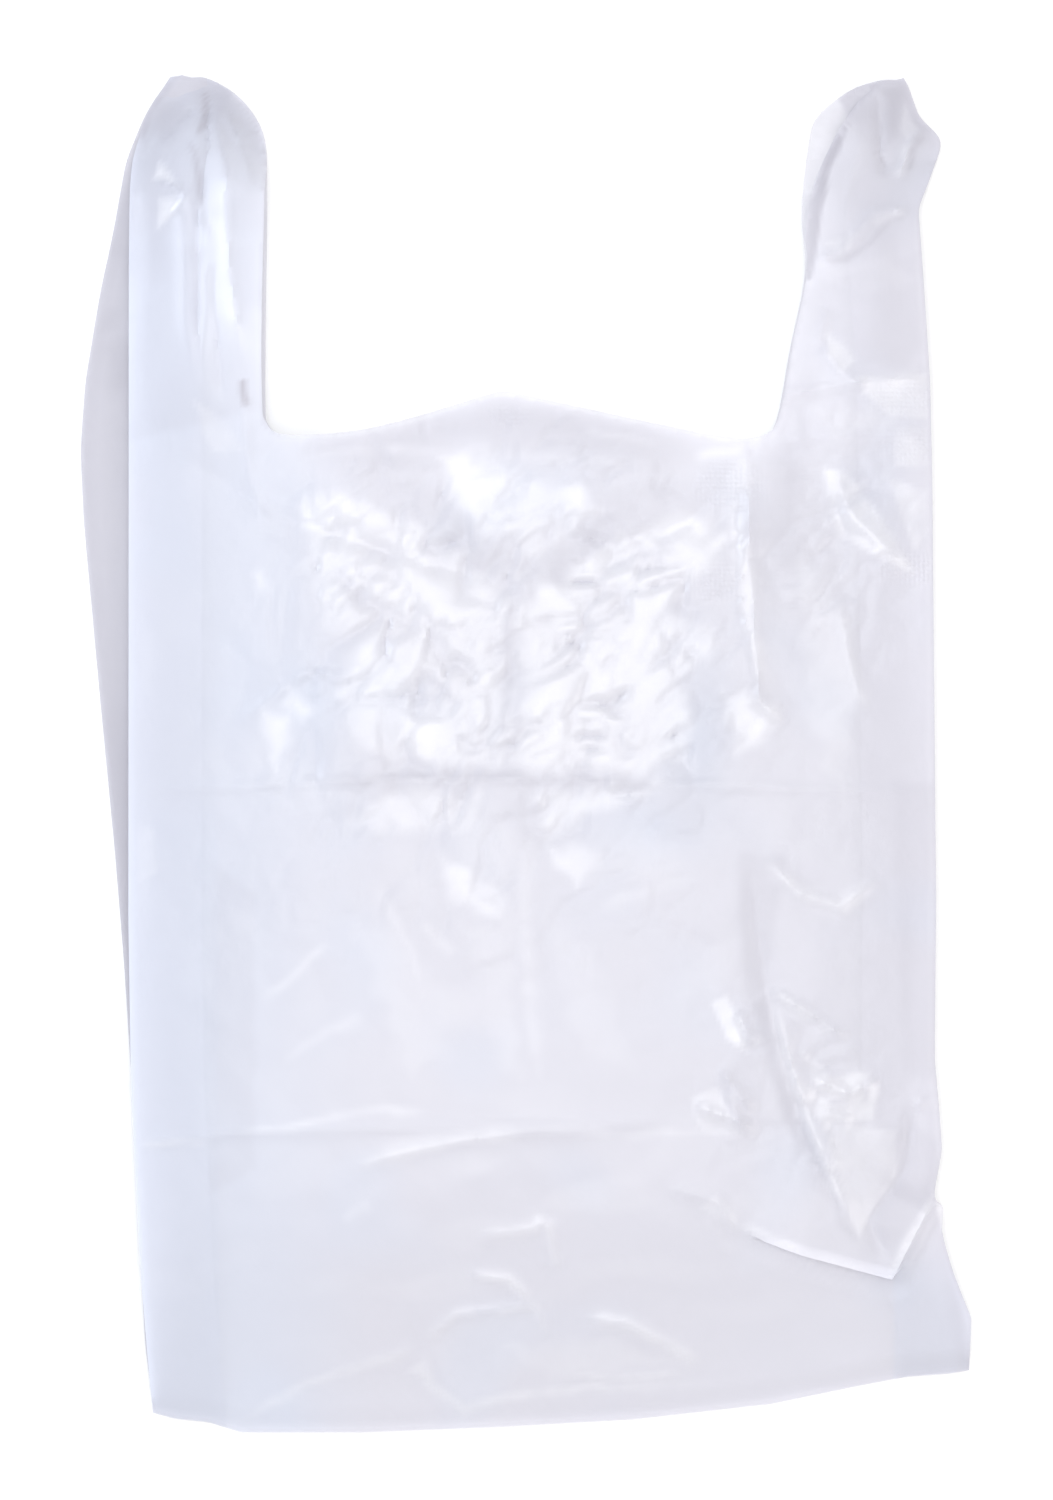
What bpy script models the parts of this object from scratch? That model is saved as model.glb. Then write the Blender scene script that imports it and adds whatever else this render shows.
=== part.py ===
"""Plastic carrier bag with two loop handles, empty, lying on its back panel.

The bag is one blown tube of film with a gusset tucked into each side. It is sealed flat across the
bottom and across the tops of the handles, and one die cut through all the layers makes the mouth and
leaves the handles as open loops. X runs across the bag, +Y towards the handles, +Z up from the floor.
"""

import math

import bmesh
import bpy

WALL = 0.0006  # the film, thickened to a wall that a solid can carry
GUSSET_DEPTH = 0.030
SEAL_WIDTH = 0.006  # flat welded band along the bottom
SEAL_GAP = 0.0004  # hollow between the panels where it runs out at a seal
BOTTOM = -0.2506
TOP = 0.2488
DOME = 0.0112  # how far the front panel stands above its side creases
LEFT_HOOD_RISE = 0.0135  # the left handle is puffed up
RIGHT_HOOD_RISE = 0.0045  # the right one is twisted and lies flatter
CREASE_HEIGHT = 0.0072
EAR_RISE = 0.0042  # the pleat at the bottom right
COLUMNS = 32

# Plan of the side folds as (y, x). The back fold on the left shows beyond the front one as a wedge.
FRONT_LEFT = [(-0.250, -0.1362), (-0.240, -0.1372), (-0.225, -0.1382), (-0.181, -0.1407),
              (-0.122, -0.1436), (-0.060, -0.1444), (0.207, -0.1444), (0.218, -0.1440),
              (0.2355, -0.1370), (0.2455, -0.1310), (0.2488, -0.1262)]
BACK_LEFT = [(-0.250, -0.1362), (-0.225, -0.1390), (-0.181, -0.1415), (-0.122, -0.1446),
             (-0.075, -0.1476), (-0.035, -0.1505), (0.020, -0.1556), (0.085, -0.1616),
             (0.112, -0.1629), (0.137, -0.1611), (0.170, -0.1556), (0.192, -0.1508),
             (0.218, -0.1456), (0.2355, -0.1376), (0.2455, -0.1315), (0.2488, -0.1266)]
FRONT_RIGHT = [(-0.250, 0.1630), (-0.225, 0.1634), (-0.203, 0.1587), (-0.181, 0.1539),
               (-0.160, 0.1496), (-0.144, 0.1524), (-0.130, 0.1514), (-0.111, 0.1497),
               (-0.053, 0.1502), (0.101, 0.1488), (0.137, 0.1480), (0.181, 0.1451),
               (0.200, 0.1440), (0.2105, 0.1484), (0.2215, 0.1524), (0.2260, 0.1518),
               (0.2335, 0.1452), (0.2455, 0.1418), (0.2488, 0.1390)]
BOTTOM_EDGE = [(-0.137, 0.0092), (-0.118, 0.0050), (-0.104, 0.0018), (-0.009, 0.0036),
               (0.040, 0.0068), (0.090, 0.0123), (0.123, 0.0192), (0.140, 0.0222), (0.163, 0.0244)]

# The die cut: the inner edge of the left handle, the mouth and the inner edge of the right handle.
MOUTH_CUT = [(-0.1262, 0.2700), (-0.1262, 0.2484), (-0.1169, 0.2470), (-0.1071, 0.2424),
             (-0.0985, 0.2330), (-0.0948, 0.2200), (-0.0944, 0.1900), (-0.0952, 0.1300),
             (-0.0932, 0.1190), (-0.0850, 0.1160), (-0.0640, 0.1172), (-0.0430, 0.1216),
             (-0.0120, 0.1311), (-0.0060, 0.1316), (0.0276, 0.1246), (0.0642, 0.1172),
             (0.0790, 0.1152), (0.0885, 0.1172), (0.0928, 0.1260), (0.0972, 0.1484),
             (0.1024, 0.1759), (0.1016, 0.1978), (0.1038, 0.2216), (0.1075, 0.2335),
             (0.1191, 0.2432), (0.1301, 0.2467), (0.1390, 0.2476), (0.1390, 0.2700)]
# The welded and gathered tops of the handles start beyond this line.
HANDLE_WELD = [(-0.180, 0.2240), (-0.1425, 0.2240), (-0.1330, 0.2370), (-0.1240, 0.2440),
               (-0.1160, 0.2430), (-0.1080, 0.2385), (-0.1010, 0.2290), (-0.0980, 0.2210),
               (-0.0900, 0.2190), (0.0900, 0.2190), (0.1080, 0.2190), (0.1110, 0.2300),
               (0.1200, 0.2385), (0.1320, 0.2420), (0.1380, 0.2400), (0.1405, 0.2300),
               (0.1450, 0.2220), (0.1430, 0.2130), (0.1405, 0.2030), (0.180, 0.2030),
               (0.180, 0.280), (-0.180, 0.280)]
# The front strap of the right handle is drawn aside here, so the back strap shows beside it.
STRAP_ASIDE = [(0.0900, 0.1740), (0.1038, 0.1740), (0.1070, 0.1900), (0.1092, 0.2060),
               (0.1125, 0.2180), (0.1180, 0.2290), (0.1150, 0.2400), (0.0900, 0.2400)]

# Creases left by the way the bag was folded, as (height along Y, crest height).
CROSS_CREASES = [(0.136, 0.0010), (0.115, 0.0006), (-0.0115, 0.0012), (-0.1370, 0.0010)]
# The pleat at the bottom right: the front panel laps over itself along this line.
EAR_EDGE = [(0.0770, -0.1718), (0.1008, -0.1817), (0.1338, -0.1909), (0.1560, -0.1480)]


def ease(low, high, value):
    """0 below low, 1 above high, and a smooth rise between."""
    t = min(max((value - low) / (high - low), 0.0), 1.0)
    return t * t * (3.0 - 2.0 * t)


def track(points, at):
    """The value of a broken line of (position, value) at a position."""
    for (a, left), (b, right) in zip(points, points[1:]):
        if at <= b:
            return left + (right - left) * max((at - a) / (b - a), 0.0)
    return points[-1][1]


def back_right(y):
    """The back fold on the right lies just inside the front one."""
    return track(FRONT_RIGHT, y) - 0.0022 * ease(-0.170, -0.120, y) * ease(0.215, 0.180, y)


def crease_height(y, right):
    """Height of the front fold: the layers lie flat at the two seals and stand open between."""
    lift = ease(-0.246, -0.170, y) * ease(0.246 - 0.022 * right, 0.170, y)
    return 4.0 * WALL + (CREASE_HEIGHT - 4.0 * WALL) * lift


def beside_line(points, x, y):
    """Signed distance to a broken line, positive on its left, and the place along it from 0 to 1."""
    best = (1.0, 0.0)
    for n, ((ax, ay), (bx, by)) in enumerate(zip(points, points[1:])):
        run = (bx - ax, by - ay)
        length = math.hypot(*run)
        t = min(max(((x - ax) * run[0] + (y - ay) * run[1]) / length**2, 0.0), 1.0)
        away = math.hypot(x - ax - t * run[0], y - ay - t * run[1])
        side = run[0] * (y - ay) - run[1] * (x - ax)
        if away < abs(best[0]):
            best = (math.copysign(away, side), (n + t) / (len(points) - 1))
    return best


def front_height(x, y):
    """Height of the front panel's outer face above the floor."""
    left, right = track(FRONT_LEFT, y), track(FRONT_RIGHT, y)
    u = min(max((x - left) / (right - left), 0.0), 1.0)
    folds = crease_height(y, 0) + (crease_height(y, 1) - crease_height(y, 0)) * u
    bottom = BOTTOM + track(BOTTOM_EDGE, x)
    opened = ease(bottom + SEAL_WIDTH, bottom + 0.105, y)
    # two layers are welded in the middle, four over the gussets
    middle = ease(0.0, 0.012, min(x - left, right - x) - GUSSET_DEPTH)
    flat = (2.0 * WALL - SEAL_GAP) * middle * (1.0 - ease(bottom, bottom + 0.05, y))
    dome = DOME * (1.0 - abs(2.0 * u - 1.0) ** 2.4) * opened * ease(0.215, 0.130, y)
    high = folds + dome - flat

    # handles: each stands up as an arch and is gathered flat at its top
    arch = ease(0.095, 0.165, y)
    high += LEFT_HOOD_RISE * arch * ease(-0.146, -0.118, x) * ease(-0.02, -0.05, x)
    high += RIGHT_HOOD_RISE * arch * ease(0.150, 0.126, x) * ease(0.05, 0.08, x)
    for middle_x, middle_y, half, reach in ((-0.1190, 0.190, 0.031, 0.060), (0.1275, 0.186, 0.031, 0.062)):
        if (x < 0) == (middle_x < 0) and y > middle_y:
            out = math.hypot((x - middle_x) / half * ease(middle_y, 0.225, y), (y - middle_y) / reach)
            high += (4.0 * WALL - SEAL_GAP - high) * ease(0.45, 1.0, out)

    # creases and the soft vertical fold down the middle
    for crease, crest in CROSS_CREASES:
        bow = 0.003 * (1.0 - (2.0 * u - 1.0) ** 2)
        high += crest * opened * max(1.0 - abs(y - crease - bow) / 0.010, 0.0)
    high += 0.0010 * opened * max(1.0 - abs(x + 0.003) / 0.009, 0.0) * ease(0.135, 0.05, y)

    # the pleat, with the valley and ridge that run up from its tip
    aside, along = beside_line(EAR_EDGE, x, y)
    if aside > 0:
        rise = EAR_RISE * ease(0.0, 0.55, along) * ease(0.0, 0.0009, aside)
        high += rise * math.exp(-aside / 0.030) * ease(1.0, 0.80, along)
    valley, down = beside_line([(0.0880, -0.085), (0.1010, -0.137), (0.1215, -0.176)], x, y)
    trough = math.exp(-(((valley + 0.004) / 0.0065) ** 2))
    ridge = math.exp(-(((valley - 0.007) / 0.0070) ** 2))
    high += (0.0026 * ridge - 0.0024 * trough) * ease(0.0, 0.35, down) * opened
    return high


def rows():
    """Stations up the bag, with one on every crease and every corner of the handles' outline."""
    count = 24
    found = [-0.238 + (0.196 + 0.238) * n / count for n in range(count + 1)]
    fixed = [crease + 0.0015 for crease, _ in CROSS_CREASES] + [-0.181, -0.160]
    found = [y for y in found if all(abs(y - f) > 0.006 for f in fixed)]
    return sorted(found + fixed + [BOTTOM, -0.244, 0.2055, 0.2145, 0.2215, 0.2265, 0.2335, 0.2400,
                                   0.2455, TOP])


def slab(name, low, high, inset, start, end):
    """A closed body between two height functions, over the plan of the bag drawn in by inset."""
    stations = [y for y in rows() if start < y < end]
    stations = [start, *stations, end]
    bm = bmesh.new()
    bmesh.ops.create_grid(bm, x_segments=COLUMNS, y_segments=len(stations) - 1, size=0.5)
    plan = {}
    for vert in bm.verts:
        u = vert.co.x + 0.5
        # columns stand closer together over the gussets and handles
        u -= 0.055 * math.sin(2.0 * math.pi * u)
        y = stations[round((vert.co.y + 0.5) * (len(stations) - 1))]
        plan[vert] = (u, y)
    lifted = bmesh.ops.extrude_face_region(bm, geom=bm.faces[:])["geom"]
    tops = [g for g in lifted if isinstance(g, bmesh.types.BMVert)]
    places = {(round(v.co.x, 6), round(v.co.y, 6)): plan[v] for v in plan}
    for vert in bm.verts:
        u, y = places[(round(vert.co.x, 6), round(vert.co.y, 6))]
        is_top = vert in tops
        left = (track(FRONT_LEFT, y) if is_top else track(BACK_LEFT, y)) + inset
        right = (track(FRONT_RIGHT, y) if is_top else back_right(y)) - inset
        x = left + (right - left) * u
        # the bottom edge isn't quite straight, so the lowest rows follow it
        y += track(BOTTOM_EDGE, x) * (1.0 - ease(BOTTOM, BOTTOM + 0.080, y))
        vert.co = (x, y, high(x, y) if is_top else low)
    bmesh.ops.recalc_face_normals(bm, faces=bm.faces[:])
    flat = [e for e in bm.edges if all(abs(v.co.z - low) < 1e-9 for v in e.verts)]
    bmesh.ops.dissolve_limit(bm, angle_limit=0.001, edges=flat, verts=[])
    bmesh.ops.triangulate(bm, faces=bm.faces[:])
    return new_object(name, bm)


def new_object(name, bm):
    mesh = bpy.data.meshes.new(name)
    bm.to_mesh(mesh)
    bm.free()
    return bpy.data.objects.new(name, mesh)


def tuck(name, side, grow, start, end):
    """The wedge of air tucked into a side between the two gusset layers, grown by grow."""
    stations = [start, *[y for y in rows() if start + 0.004 < y < end - 0.004], end]
    bm = bmesh.new()
    rings = []
    for y in stations:
        front = track(FRONT_LEFT, y) if side < 0 else track(FRONT_RIGHT, y)
        back = track(BACK_LEFT, y) if side < 0 else back_right(y)
        high = crease_height(y, side > 0)
        open_here = ease(-0.234, -0.180, y) * ease(0.226, 0.180, y)
        inner = front - side * (GUSSET_DEPTH + grow)
        middle, half = high / 2.0, 0.00015 + 0.0004 * open_here + grow
        # both faces run on past the folds, so the wedge opens clear of the bag's side
        out = 0.020
        top_slope = (high - WALL + grow - middle - half) / (GUSSET_DEPTH + grow)
        low_slope = (WALL - grow - middle + half) / (abs(back - inner))
        reach = abs(back - inner) + out
        section = [(inner, middle + half), (inner - side * half, middle), (inner, middle - half),
                   (back + side * out, middle - half + low_slope * reach),
                   (front + side * out, middle + half + top_slope * (GUSSET_DEPTH + grow + out))]
        section[3] = (back + side * out, min(section[3][1], section[4][1] - 0.0003))
        rings.append([bm.verts.new((x, y, z)) for x, z in section])
    for near, far in zip(rings, rings[1:]):
        for n in range(5):
            bm.faces.new((near[n], near[(n + 1) % 5], far[(n + 1) % 5], far[n]))
    bm.faces.new(rings[0])
    bm.faces.new(rings[-1])
    bmesh.ops.recalc_face_normals(bm, faces=bm.faces[:])
    bmesh.ops.triangulate(bm, faces=bm.faces[:])
    return new_object(name, bm)


def outline(name, points, low, high):
    """A flat outline with soft corners, as a closed prism between two heights."""
    curve = bpy.data.curves.new(name, "CURVE")
    curve.dimensions = "2D"
    curve.fill_mode = "BOTH"
    curve.extrude = (high - low) / 2.0
    curve.resolution_u = 4
    spline = curve.splines.new("BEZIER")
    spline.bezier_points.add(len(points) - 1)
    spline.use_cyclic_u = True
    for point, (x, y) in zip(spline.bezier_points, points):
        corner = y > 0.249 or abs(x) > 0.17 or x == 0.09
        point.co = (x, y, 0.0)
        point.handle_left_type = point.handle_right_type = "VECTOR" if corner else "AUTO"
    drawn = bpy.data.objects.new(name, curve)
    bpy.context.scene.collection.objects.link(drawn)
    bpy.context.view_layer.update()
    mesh = bpy.data.meshes.new_from_object(drawn.evaluated_get(bpy.context.evaluated_depsgraph_get()))
    bpy.data.objects.remove(drawn)
    bm = bmesh.new()
    bm.from_mesh(mesh)
    bpy.data.meshes.remove(mesh)
    bmesh.ops.remove_doubles(bm, verts=bm.verts[:], dist=0.00001)
    bmesh.ops.translate(bm, verts=bm.verts[:], vec=(0.0, 0.0, (high + low) / 2.0))
    bmesh.ops.recalc_face_normals(bm, faces=bm.faces[:])
    return new_object(name, bm)


def cut(body, tool):
    boolean = body.modifiers.new("cut " + tool.name, "BOOLEAN")
    boolean.operation = "DIFFERENCE"
    boolean.solver = "EXACT"
    boolean.object = tool


for old in list(bpy.data.objects):
    bpy.data.objects.remove(old)
bag_parts = bpy.data.collections.new("carrier bag")
cutters = bpy.data.collections.new("cutters")
bpy.context.scene.collection.children.link(bag_parts)
bpy.context.scene.collection.children.link(cutters)

# The outside of the bag, and the hollow between its panels.
bag = slab("carrier_bag", 0.0, front_height, 0.0, BOTTOM, TOP)
bag_parts.objects.link(bag)
hollow = slab("hollow", WALL, lambda x, y: front_height(x, y) - WALL, 0.0018, BOTTOM + SEAL_WIDTH, 0.2470)
tools = {
    "gusset left": tuck("gusset left", -1, 0.0, -0.2330, 0.2200),
    "gusset right": tuck("gusset right", 1, 0.0, -0.2150, 0.1990),
    "gusset left wall": tuck("gusset left wall", -1, WALL, -0.2700, 0.2700),
    "gusset right wall": tuck("gusset right wall", 1, WALL, -0.2700, 0.2700),
    "mouth": outline("mouth", MOUTH_CUT, -0.010, 0.060),
    "handle welds": outline("handle welds", HANDLE_WELD, -0.010, 0.060),
    "strap aside": outline("strap aside", STRAP_ASIDE, 0.0028, 0.060),
}
for tool in [hollow, *tools.values()]:
    cutters.objects.link(tool)
    tool.display_type = "WIRE"
    tool.hide_render = True

for name in ("gusset left wall", "gusset right wall", "handle welds"):
    cut(hollow, tools[name])
for name in ("gusset left", "gusset right"):
    cut(bag, tools[name])
cut(bag, hollow)
for name in ("strap aside", "mouth"):
    cut(bag, tools[name])

film = bpy.data.materials.new("white film")
film.use_nodes = True
shader = film.node_tree.nodes["Principled BSDF"]
shader.inputs["Base Color"].default_value = (0.78, 0.78, 0.87, 1.0)
shader.inputs["Roughness"].default_value = 0.32
shader.inputs["Metallic"].default_value = 0.0
bag.data.materials.append(film)
bag.data.shade_smooth()
bag.data.set_sharp_from_angle(angle=math.radians(35.0))
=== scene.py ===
import math

import bmesh
import bpy
import numpy as np
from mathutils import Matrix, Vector, noise


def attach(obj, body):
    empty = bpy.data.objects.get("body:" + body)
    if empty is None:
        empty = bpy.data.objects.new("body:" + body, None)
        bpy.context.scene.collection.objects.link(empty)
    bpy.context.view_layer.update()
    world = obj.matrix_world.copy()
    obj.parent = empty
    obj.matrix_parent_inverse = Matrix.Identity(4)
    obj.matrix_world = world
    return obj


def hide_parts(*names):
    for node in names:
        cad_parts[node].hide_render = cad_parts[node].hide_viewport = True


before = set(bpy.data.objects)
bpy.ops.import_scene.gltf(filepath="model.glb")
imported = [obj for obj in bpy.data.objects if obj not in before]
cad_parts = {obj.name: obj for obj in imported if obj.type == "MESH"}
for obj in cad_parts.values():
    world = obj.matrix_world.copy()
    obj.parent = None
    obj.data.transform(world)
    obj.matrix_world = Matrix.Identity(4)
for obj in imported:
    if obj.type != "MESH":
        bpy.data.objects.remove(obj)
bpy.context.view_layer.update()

# ---------------------------------------------------------------------------------------------
# The bag's film: one tube of white high density polyethylene, blown in one piece, with a gusset
# tucked into each side. It is welded flat across the bottom and the handle tops, and one die cut
# through all the layers makes the mouth and frees the two handles. It lies on its back panel.

BOTTOM, TOP = -0.2506, 0.2488
GUSSET = 0.0265  # from a side fold to the gusset's middle fold
ROWS = 312  # rows of faces from the bottom weld to the handle tops
SOFT_CORNER, TIGHT_CORNER = 0.0035, 0.0018  # how far the plan's corners are rounded

# plan of the side folds, as (y, x)
FRONT_LEFT = [(-0.250, -0.1362), (-0.240, -0.1372), (-0.225, -0.1382), (-0.181, -0.1407),
              (-0.122, -0.1436), (-0.060, -0.1446), (0.207, -0.1444), (0.218, -0.1440),
              (0.2355, -0.1384), (0.2455, -0.1320), (0.2488, -0.1284)]
BACK_LEFT = [(-0.250, -0.1362), (-0.225, -0.1390), (-0.181, -0.1412), (-0.122, -0.1440),
             (-0.075, -0.1470), (-0.035, -0.1503), (0.020, -0.1556), (0.085, -0.1616),
             (0.112, -0.1629), (0.137, -0.1611), (0.170, -0.1556), (0.192, -0.1508),
             (0.218, -0.1462), (0.2355, -0.1390), (0.2455, -0.1325), (0.2488, -0.1288)]
FRONT_RIGHT = [(-0.250, 0.1630), (-0.225, 0.1634), (-0.203, 0.1587), (-0.181, 0.1539),
               (-0.160, 0.1494), (-0.144, 0.1524), (-0.130, 0.1514), (-0.111, 0.1497),
               (-0.053, 0.1502), (0.101, 0.1488), (0.137, 0.1480), (0.181, 0.1451),
               (0.200, 0.1440), (0.2105, 0.1482), (0.2225, 0.1526), (0.2265, 0.1526),
               (0.2340, 0.1446), (0.2440, 0.1412), (0.2488, 0.1392)]
# how far the welded bottom edge rises above its lowest line, as (x, rise)
BOTTOM_EDGE = [(-0.137, 0.0098), (-0.128, 0.0074), (-0.116, 0.0062), (-0.104, 0.0024),
               (-0.060, 0.0024), (-0.009, 0.0044), (0.040, 0.0072), (0.090, 0.0128),
               (0.123, 0.0196), (0.140, 0.0228), (0.156, 0.0240), (0.163, 0.0252)]


def ease(low, high, value):
    t = np.clip((value - low) / (high - low), 0.0, 1.0)
    return t * t * (3.0 - 2.0 * t)


def track(points, at, soft=SOFT_CORNER):
    """A broken line of (place, value), rounded a little at its corners."""
    place, value = np.array(points).T
    spread = ((-1.5, 0.12), (-0.75, 0.22), (0.0, 0.32), (0.75, 0.22), (1.5, 0.12))
    return sum(
        weight * np.interp(np.clip(at + step * soft, place[0], place[-1]), place, value) for step, weight in spread
    )


def front_left(y):
    return track(FRONT_LEFT, y)


def front_right(y):
    return track(FRONT_RIGHT, y, TIGHT_CORNER)


def back_left(y):
    return track(BACK_LEFT, y)


def back_right(y):
    """The back panel's right fold, hidden just inside the front one."""
    return front_right(y) - 0.0022 * ease(-0.170, -0.120, y) * ease(0.215, 0.180, y)


def bottom_rise(x):
    return np.interp(x, *np.array(BOTTOM_EDGE).T)


def onto_weld(x, y):
    """Moves the lowest rows up to the slanting bottom weld."""
    return y + bottom_rise(x) * (1.0 - ease(BOTTOM, BOTTOM + 0.080, y))


def fold_height(y, right):
    """Height of a front fold: flat at the welds, standing open between them. right is 1 on the right side."""
    lift = ease(-0.246, -0.170, y) * ease(0.246 - 0.022 * right, 0.170, y)
    return 0.0012 + 0.0064 * lift


def beside(points, x, y):
    """Signed distance to a broken line, positive on its left, and the place along it, 0 to 1."""
    best = np.full(np.shape(x), 9.0)
    side_of, along = np.zeros(np.shape(x)), np.zeros(np.shape(x))
    for n, ((ax, ay), (bx, by)) in enumerate(zip(points, points[1:])):
        run_x, run_y = bx - ax, by - ay
        t = np.clip(((x - ax) * run_x + (y - ay) * run_y) / (run_x**2 + run_y**2), 0.0, 1.0)
        away = np.hypot(x - ax - t * run_x, y - ay - t * run_y)
        side = run_x * (y - ay) - run_y * (x - ax)
        nearer = away < best
        best = np.where(nearer, away, best)
        side_of = np.where(nearer, np.sign(side), side_of)
        along = np.where(nearer, (n + t) / (len(points) - 1), along)
    return best * side_of, along


def crease(points, x, y, height, width, ends=0.15):
    """A ridge, or a valley if height is below zero, that runs out towards its ends."""
    away, along = beside(points, x, y)
    fade = ease(0.0, ends, along) * ease(1.0, 1.0 - ends, along) if ends else 1.0
    return height * np.exp(-np.abs(away) / width) * fade


def rough(x, y, scale, seed):
    """Soft noise from -1 to 1 over the plan."""
    flat = np.broadcast_arrays(x, y)
    found = [noise.noise(Vector((a * scale, b * scale, seed))) for a, b in zip(flat[0].ravel(), flat[1].ravel())]
    return np.array(found).reshape(flat[0].shape)


def crushed(x, y, long, short, turn, seed):
    """Facets with pinched creases between them, as in film crumpled and smoothed out.

    -1 in a crease, 0 on a facet."""
    x, y = x + 0.007 * rough(x, y, 34.0, seed + 5.0), y + 0.007 * rough(x, y, 34.0, seed + 9.0)
    a, b = (x * math.cos(turn) + y * math.sin(turn)) / long, (y * math.cos(turn) - x * math.sin(turn)) / short
    gap = np.empty(np.shape(a))
    for n, (p, q) in enumerate(zip(a.ravel(), b.ravel())):
        near = noise.voronoi(Vector((p, q, seed)))[0]
        gap.flat[n] = near[1] - near[0]
    return -np.exp(-gap / 0.17) * np.clip(0.6 + 1.5 * rough(x, y, 60.0, seed + 13.0), 0.0, 1.4)


def crumples(x, y):
    """Large and small creases together; the large ones run up on the left and slant on the right."""
    right_half = ease(-0.025, 0.015, x)
    large = crushed(x, y, 0.024, 0.013, 1.25, 1.0) * (1.0 - right_half)
    large = large + crushed(x, y, 0.024, 0.011, 0.45, 2.0) * right_half
    return large + 0.6 * crushed(x, y, 0.011, 0.0065, 0.8, 3.0)


# the pleat at the bottom right, where the front panel laps down over itself
PLEAT = [(0.0770, -0.1718), (0.0880, -0.1770), (0.1008, -0.1817), (0.1338, -0.1909), (0.1500, -0.1590)]


def front_height(x, y, left, right):
    """Height of the front panel above the floor."""
    u = np.clip((x - left) / (right - left), 0.0, 1.0)
    folds = fold_height(y, 0) * (1.0 - u) + fold_height(y, 1) * u
    bottom = BOTTOM + bottom_rise(x)
    opened = ease(bottom + 0.004, bottom + 0.105, y)
    dome = 0.0108 * (1.0 - np.abs(2.0 * u - 1.0) ** 2.4) * opened * ease(0.215, 0.130, y)
    high = folds * ease(bottom - 0.001, bottom + 0.01, y) + 0.0003 + dome

    # handles: the left one is puffed up, the right one is twisted and lies flatter
    arch = ease(0.095, 0.165, y)
    high += 0.0125 * arch * ease(-0.146, -0.118, x) * ease(-0.02, -0.05, x)
    high += 0.0045 * arch * ease(0.150, 0.126, x) * ease(0.05, 0.08, x)
    for mid_x, mid_y, half, reach in ((-0.1190, 0.190, 0.0300, 0.0592), (0.1275, 0.186, 0.0305, 0.0625)):
        out = np.hypot((x - mid_x) / half * ease(mid_y, 0.225, y), np.maximum(y - mid_y, 0.0) / reach)
        high = np.where((x < 0) == (mid_x < 0), high + (0.0009 - high) * ease(0.35, 1.0, out) * (y > mid_y), high)
    return high


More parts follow.
